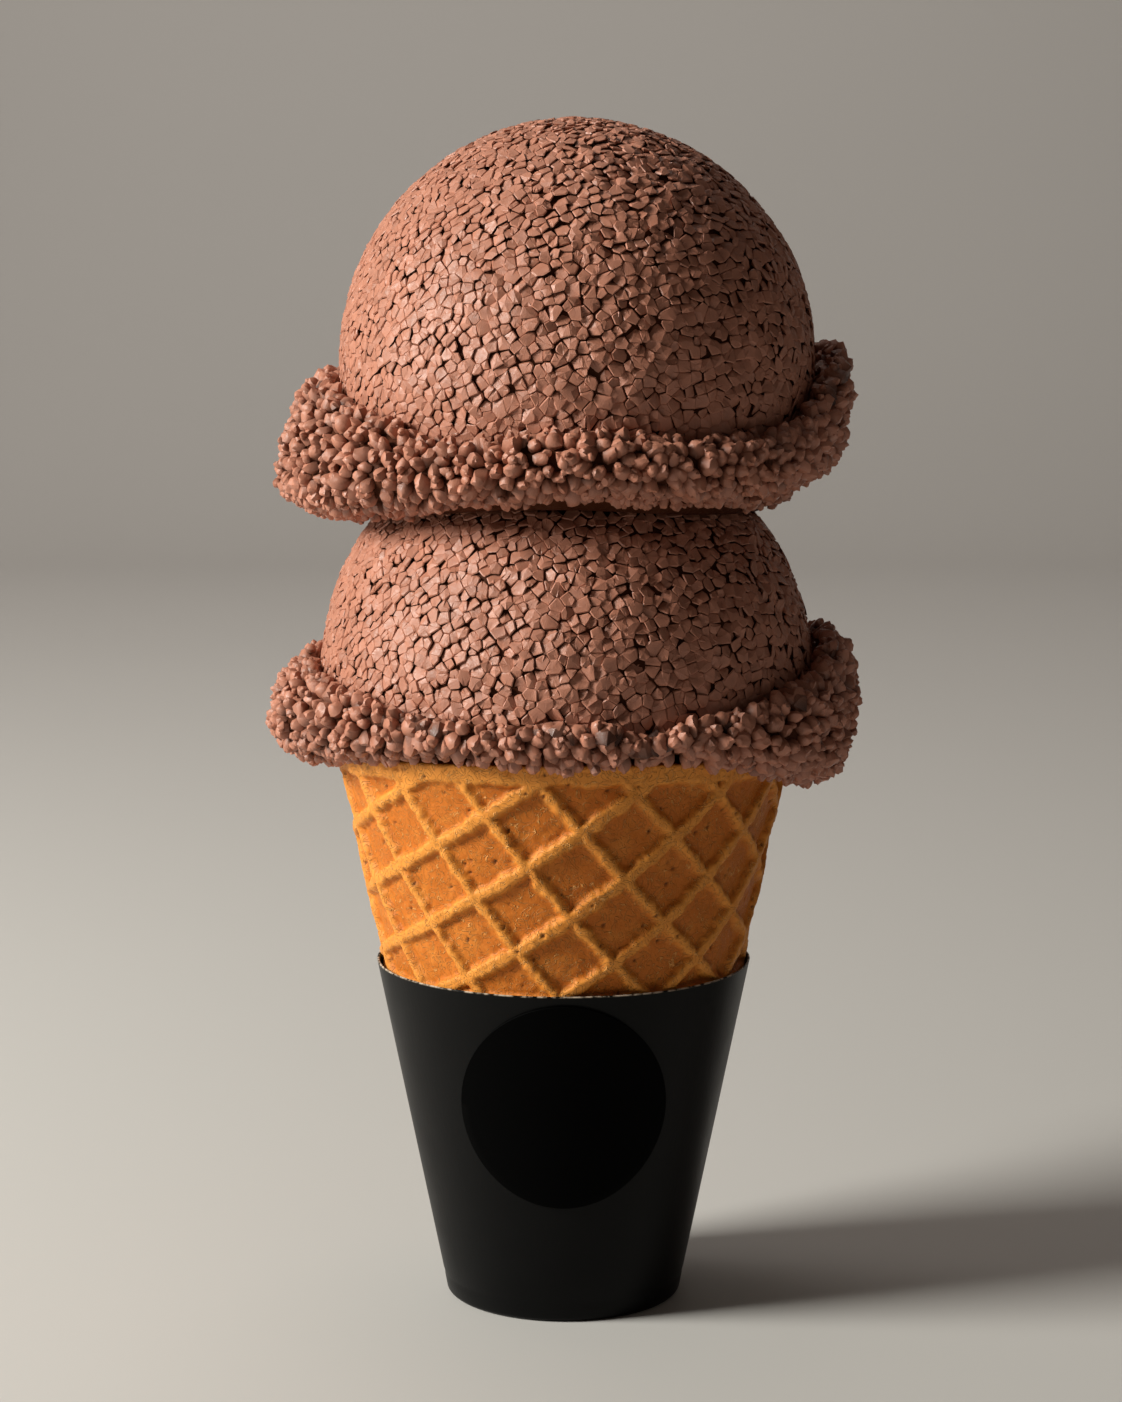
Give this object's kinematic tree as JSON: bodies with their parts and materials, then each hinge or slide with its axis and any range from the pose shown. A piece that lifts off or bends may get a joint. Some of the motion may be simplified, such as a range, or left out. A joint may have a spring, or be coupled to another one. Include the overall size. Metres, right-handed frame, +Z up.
{
  "type": "ice cream cone",
  "caption": "Ice cream cone: brown ice cream scoops with rough nubbly skirts, stacked on a diamond-patterned waffle cone that stands in a tapered black sleeve with a bare round label.",
  "frame": {"origin": "centre of the sleeve's flat underside, on the surface it stands on", "axes": "+Z up along the cone's axis, -Y towards the front with the label, +X to the right as seen from the front"},
  "size_m": [0.0799, 0.0734, 0.162],
  "materials": {
    "sleeve_paper": "satin-matte black",
    "label_paper": "matte black",
    "waffle": "baked wafer, golden brown",
    "ice_cream": "frozen, slightly moist, milk-chocolate brown"
  },
  "bodies": {
    "root": {"sleeve": "sleeve_paper", "sleeve_label": "label_paper", "waffle_cone": "waffle", "lower_scoop": "ice_cream", "upper_scoop": "ice_cream"}
  },
  "joints": []
}
